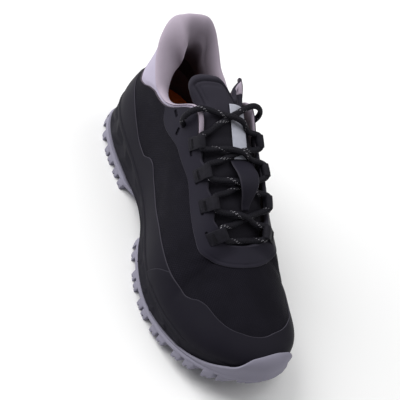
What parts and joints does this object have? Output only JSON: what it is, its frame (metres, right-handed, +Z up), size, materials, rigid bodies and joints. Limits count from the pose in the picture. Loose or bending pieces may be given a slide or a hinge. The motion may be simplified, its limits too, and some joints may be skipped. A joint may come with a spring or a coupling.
{
  "type": "hiking shoe",
  "caption": "Low-cut right hiking shoe: lugged sole with toe bumper, hollow upper with film overlays, padded collar with tall heel tab, padded tongue, laced webbing loops.",
  "frame": {"origin": "on the floor, under the middle of the shoe's box", "axes": "+X from heel to toe, +Y to the medial side, +Z up"},
  "size_m": [0.2978, 0.1109, 0.1317],
  "materials": {
    "quarter_fabric": "matt ripstop",
    "overlay_film": "satin film",
    "collar_lining": "matt knit",
    "midsole_foam": "matt moulded foam",
    "outsole_rubber": "matt rubber",
    "tongue_fabric": "matt mesh",
    "ribbon_webbing": "satin woven ribbon",
    "loop_webbing": "woven webbing",
    "lace_cord": "braided cord with pale flecks",
    "insole_foam": "matt cloth over foam"
  },
  "bodies": {
    "root": {"collar_cuff": "collar_lining", "eyestay": "overlay_film", "insole": "insole_foam", "lace_bar": "lace_cord", "lace_crossing_1": "lace_cord", "lace_crossing_2": "lace_cord", "lace_crossing_3": "lace_cord", "lace_crossing_4": "lace_cord", "lace_end_lateral": "lace_cord", "lace_end_medial": "lace_cord", "lace_loop_lateral_1": "loop_webbing", "lace_loop_lateral_2": "loop_webbing", "lace_loop_lateral_3": "loop_webbing", "lace_loop_lateral_4": "loop_webbing", "lace_loop_medial_1": "loop_webbing", "lace_loop_medial_2": "loop_webbing", "lace_loop_medial_3": "loop_webbing", "lace_loop_medial_4": "loop_webbing", "midsole": "midsole_foam", "outsole": "outsole_rubber", "side_overlay": "overlay_film", "toe_cap": "overlay_film", "tongue": "tongue_fabric", "tongue_keeper": "tongue_fabric", "tongue_ribbon": "ribbon_webbing", "upper": "quarter_fabric"}
  },
  "joints": []
}
